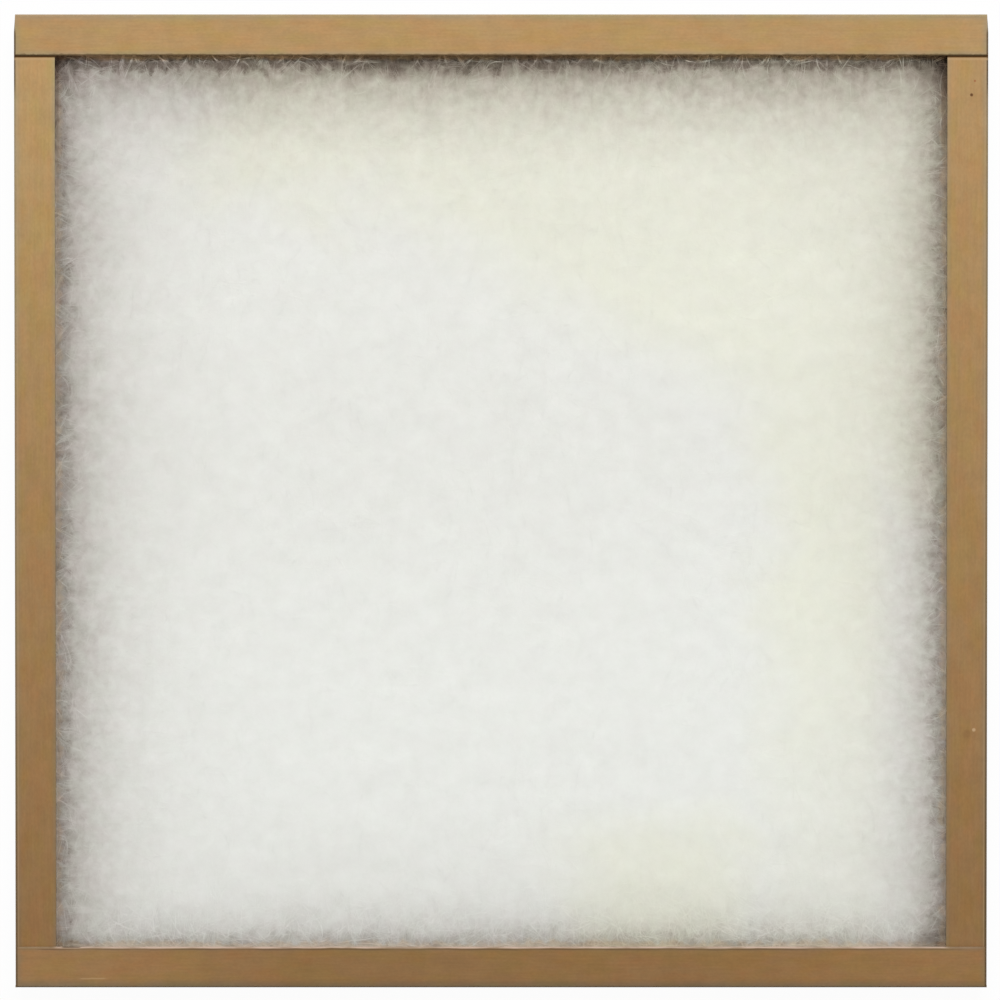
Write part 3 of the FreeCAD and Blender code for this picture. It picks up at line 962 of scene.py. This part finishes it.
# Name, how the fibres are laid, seed, count, points along each, range of radius in mm and material
FIBRE_SETS = (
    ("surface_fibres_1", surface_fibres, 101, 5900, 6, (0.08, 0.17), fibre_glass),
    ("surface_fibres_2", surface_fibres, 102, 5900, 6, (0.08, 0.17), fibre_glass),
    ("edge_fibres", edge_fibres, 201, 6900, 5, (0.05, 0.12), fibre_glass),
    ("edge_wisps", edge_wisps, 202, 4500, 5, (0.06, 0.13), wisp_glass),
    ("back_fibres", back_fibres, 301, 2600, 6, (0.08, 0.15), fibre_glass),
)
for name, laid, seed, count, points, thickness, glass in FIBRE_SETS:
    rng = np.random.default_rng(seed)
    radius = rng.uniform(*thickness, count) * MM
    paths = laid(rng, radius, points)
    new_piece(name, tubes(name, paths, radius), glass, shades=False)

dress("backing_net", yarn())


# Studio

FLOOR_SIDE = 30
FLOOR_DROP = 0.05 * MM  # keeps the floor clear of the filter's underside
FLOOR_GREY = (0.9, 0.9, 0.9, 1.0)
FLOOR_WHITE = (1.0, 1.0, 1.0, 1.0)
SEEN_LIFT = 0.95  # share of plain white in the floor as the camera sees it
SKY_STRENGTH = 0.62
KEY_POWER = 62
KEY_SIZE = (1.6, 1.0)
KEY_PLACE = (0.1, 1.93, 2.3)


def studio_floor():
    """A wide white floor. Seen directly it is lifted towards white, and it keeps the shadow."""
    bpy.ops.mesh.primitive_plane_add(size=FLOOR_SIDE, location=(0, 0, -FLOOR_DROP))
    floor = bpy.context.object
    floor.name = "floor"
    paint = Paint("floor_white")
    matte = paint.node("BsdfDiffuse", {"Color": FLOOR_GREY})
    glow = paint.node("Emission", {"Color": FLOOR_WHITE, "Strength": 1.0})
    light_path = paint.node("LightPath", {})
    seen = paint.larger(light_path.outputs["Is Camera Ray"], light_path.outputs["Is Glossy Ray"])
    share = paint.product(seen, SEEN_LIFT)
    both = paint.node("MixShader", {0: share, 1: matte.outputs[0], 2: glow.outputs[0]})
    paint.node("OutputMaterial", {"Surface": both.outputs[0]})
    floor.data.materials.append(paint.material)


def key_light():
    """One wide soft lamp, high beyond the top rail."""
    lamp = bpy.data.lights.new("key", "AREA")
    lamp.shape = "RECTANGLE"
    lamp.size, lamp.size_y = KEY_SIZE
    lamp.energy = KEY_POWER
    holder = bpy.data.objects.new("key", lamp)
    holder.location = KEY_PLACE
    holder.rotation_euler = (-holder.location).to_track_quat("-Z", "Y").to_euler()
    bpy.context.scene.collection.objects.link(holder)


def sky():
    """An even white surround, plain white where the camera sees it."""
    world = bpy.data.worlds.new("surround")
    bpy.context.scene.world = world
    world.use_nodes = True
    tree = world.node_tree
    tree.nodes.clear()
    path = tree.nodes.new("ShaderNodeLightPath")
    amount = tree.nodes.new("ShaderNodeMapRange")
    amount.inputs["To Min"].default_value = SKY_STRENGTH
    amount.inputs["To Max"].default_value = 1.0
    tree.links.new(path.outputs["Is Camera Ray"], amount.inputs["Value"])
    background = tree.nodes.new("ShaderNodeBackground")
    tree.links.new(amount.outputs[0], background.inputs["Strength"])
    output = tree.nodes.new("ShaderNodeOutputWorld")
    tree.links.new(background.outputs[0], output.inputs["Surface"])


PHOTO_SIDE = 1000  # pixels along each side of the photograph
FACE_PIXELS = 973.5  # width of the face in it
SENSOR = 36.0  # width in mm of the camera's sensor
CAMERA_AWAY = 2.0
CAMERA_TILT = math.radians(0.85)
AIM_SHIFT = (-0.56 * MM, 0.9 * MM)  # from the middle of the face to the middle of the picture


def photo_camera():
    """Looks straight down on the face, tilted a little from the side of the top rail."""
    lens = bpy.data.cameras.new("photo")
    holder = bpy.data.objects.new("photo", lens)
    aim = Vector((*AIM_SHIFT, FILTER_HIGH.z))
    away = Vector((0.0, math.sin(CAMERA_TILT), math.cos(CAMERA_TILT)))
    holder.location = aim + away * CAMERA_AWAY
    holder.rotation_euler = (-CAMERA_TILT, 0.0, 0.0)
    picture_width = FACE.x * PHOTO_SIDE / FACE_PIXELS
    lens.sensor_width = SENSOR
    lens.lens = SENSOR * CAMERA_AWAY / picture_width
    bpy.context.scene.collection.objects.link(holder)
    bpy.context.scene.camera = holder


studio_floor()
key_light()
sky()
photo_camera()
bpy.context.scene.view_settings.view_transform = "Standard"

bpy.context.view_layer.update()
